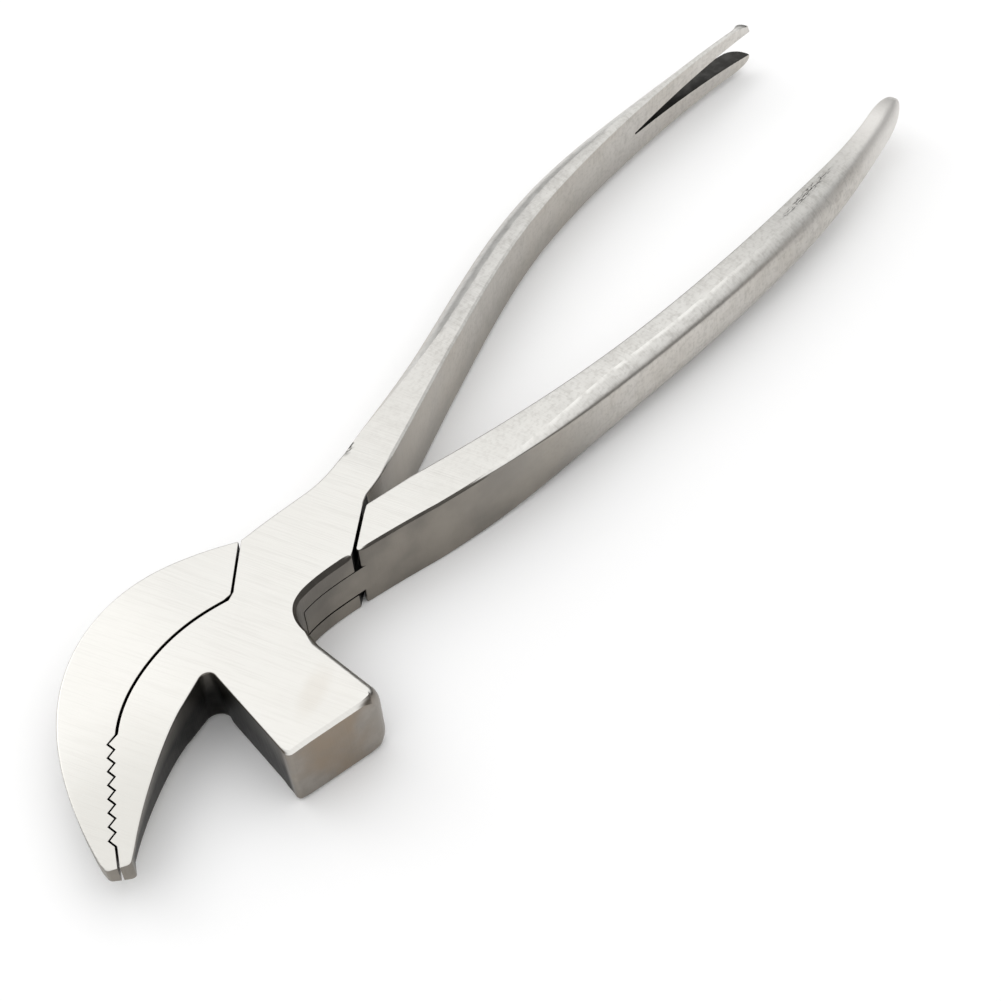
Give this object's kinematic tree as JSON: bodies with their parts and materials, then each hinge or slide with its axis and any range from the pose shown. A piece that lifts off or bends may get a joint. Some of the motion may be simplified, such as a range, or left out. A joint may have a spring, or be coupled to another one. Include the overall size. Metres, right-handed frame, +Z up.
{
  "type": "lasting pliers",
  "caption": "Box-joint lasting pliers with toothed curved jaws, a side hammer head and a notched tack-lifter handle.",
  "frame": {"origin": "on the pivot axis, in the flat underside of the joint", "axes": "+X from the pivot to the point midway between the handle ends, with the jaws at -X; +Y towards the notched handle; +Z up, square to the flat sides"},
  "size_m": [0.2018, 0.0514, 0.0125],
  "materials": {
    "satin_steel": "satin, fine ground",
    "rivet_steel": "ground flush"
  },
  "bodies": {
    "box_half": {"box_half": "satin_steel", "pivot_pin": "rivet_steel"},
    "through_half": {"through_half": "satin_steel"}
  },
  "joints": [
    {"name": "pivot", "type": "hinge", "parent": "box_half", "child": "through_half", "pos_m": [0, 0, 0], "axis": [0, 0, -1], "range_deg": [0, 35]}
  ]
}
